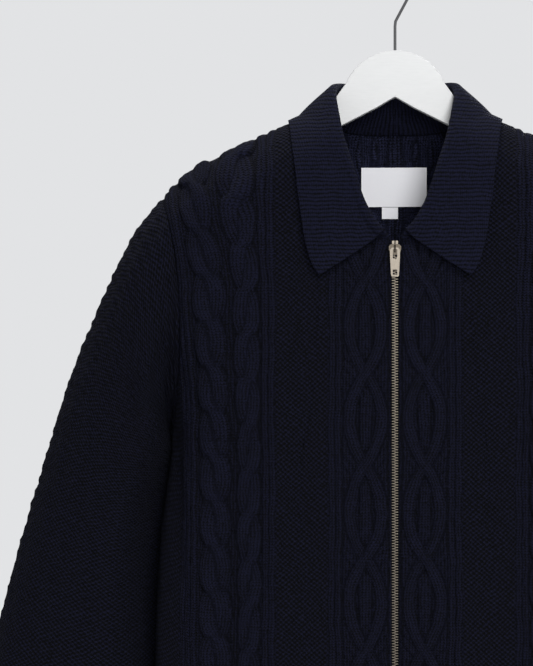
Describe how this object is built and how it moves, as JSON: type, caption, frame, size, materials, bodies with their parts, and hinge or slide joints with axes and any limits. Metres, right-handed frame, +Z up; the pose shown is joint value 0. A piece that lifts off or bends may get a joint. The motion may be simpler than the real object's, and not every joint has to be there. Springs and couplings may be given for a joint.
{
  "type": "knit jacket on a hanger",
  "caption": "Navy cable-knit jacket with a full-length metal zip and a knitted shirt collar, hanging on a flat white hanger with a wire hook.",
  "frame": {"origin": "inside top of the hanger's hook, where a rail holds it", "axes": "+Z up, -Y out of the jacket's front, X across it, with the zip and the hook's shank at X = 0"},
  "size_m": [0.84, 0.1285, 0.8768],
  "materials": {
    "knit": "navy wool knit with cables, ribs and moss stitch",
    "zip_tape": "woven navy tape",
    "zip_metal": "pale nickel",
    "label": "white woven satin, bare",
    "hanger_paint": "satin white paint on wood",
    "hook_wire": "plain steel wire"
  },
  "bodies": {
    "garment": {"front_left": "knit", "front_right": "knit", "back": "knit", "sleeve_left": "knit", "sleeve_right": "knit", "collar": "knit", "zip_tape_left": "zip_tape", "zip_tape_right": "zip_tape", "zip_chain": "zip_metal", "zip_slider": "zip_metal", "zip_stop_left": "zip_metal", "zip_stop_right": "zip_metal", "zip_box": "zip_metal", "neck_label": "label", "size_tab": "label", "hanger_board": "hanger_paint", "hanger_hook": "hook_wire"},
    "pull_tab": {"zip_pull_tab": "zip_metal"}
  },
  "joints": [
    {"name": "pull_swing", "type": "hinge", "parent": "garment", "child": "pull_tab", "pos_m": [0, -0.05809, -0.284], "axis": [-1, 0, 0], "range_deg": [0, 150]}
  ]
}
